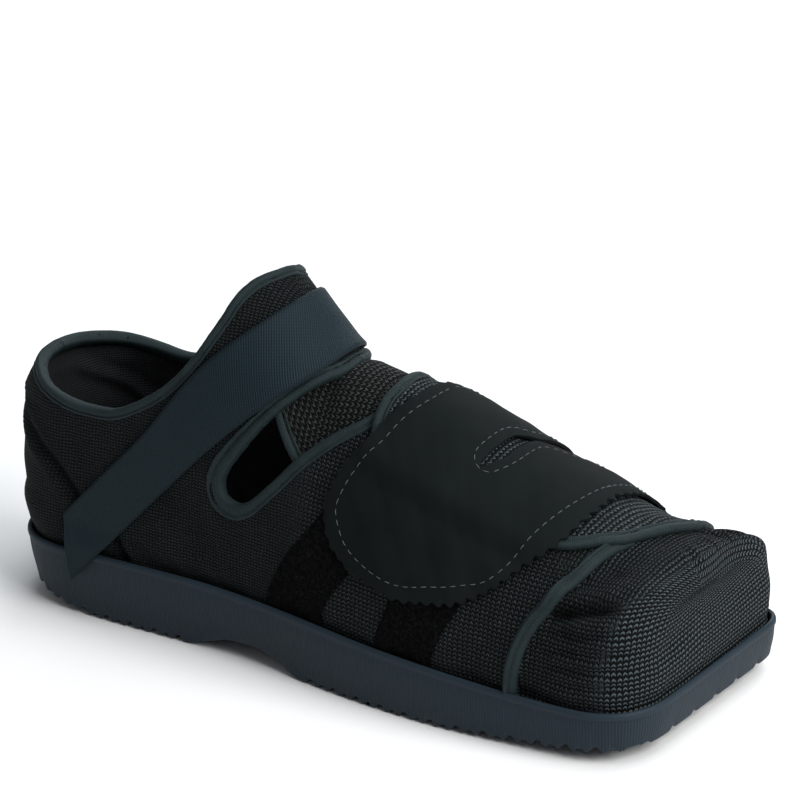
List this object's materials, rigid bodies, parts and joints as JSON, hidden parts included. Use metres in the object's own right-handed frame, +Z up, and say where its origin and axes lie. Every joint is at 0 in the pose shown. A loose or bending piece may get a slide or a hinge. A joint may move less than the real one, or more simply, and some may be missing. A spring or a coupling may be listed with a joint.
{
  "type": "post operative shoe",
  "caption": "Wide square-toed recovery shoe with a hollow padded-mesh upper, a closure patch that splits into two straps, an ankle strap and a moulded lugged sole.",
  "frame": {"origin": "under the middle of the shoe's bounding box, on the floor that the lugs stand on", "axes": "+X to the toe, +Y to the medial side, +Z up"},
  "size_m": [0.3016, 0.1196, 0.145],
  "materials": {
    "sole": "matte moulded, finely ribbed wall",
    "insole": "matte brushed fabric over foam",
    "mesh": "knitted padded mesh",
    "tongue": "coarse spacer mesh",
    "patch": "matte laminated sheet with pinked edges",
    "webbing": "matte ribbed webbing and binding tape"
  },
  "bodies": {
    "root": {"sole": "sole", "insole": "insole", "upper": "mesh", "tongue": "tongue", "instep_flap": "mesh", "closure_patch": "patch", "ankle_strap": "webbing"}
  },
  "joints": []
}
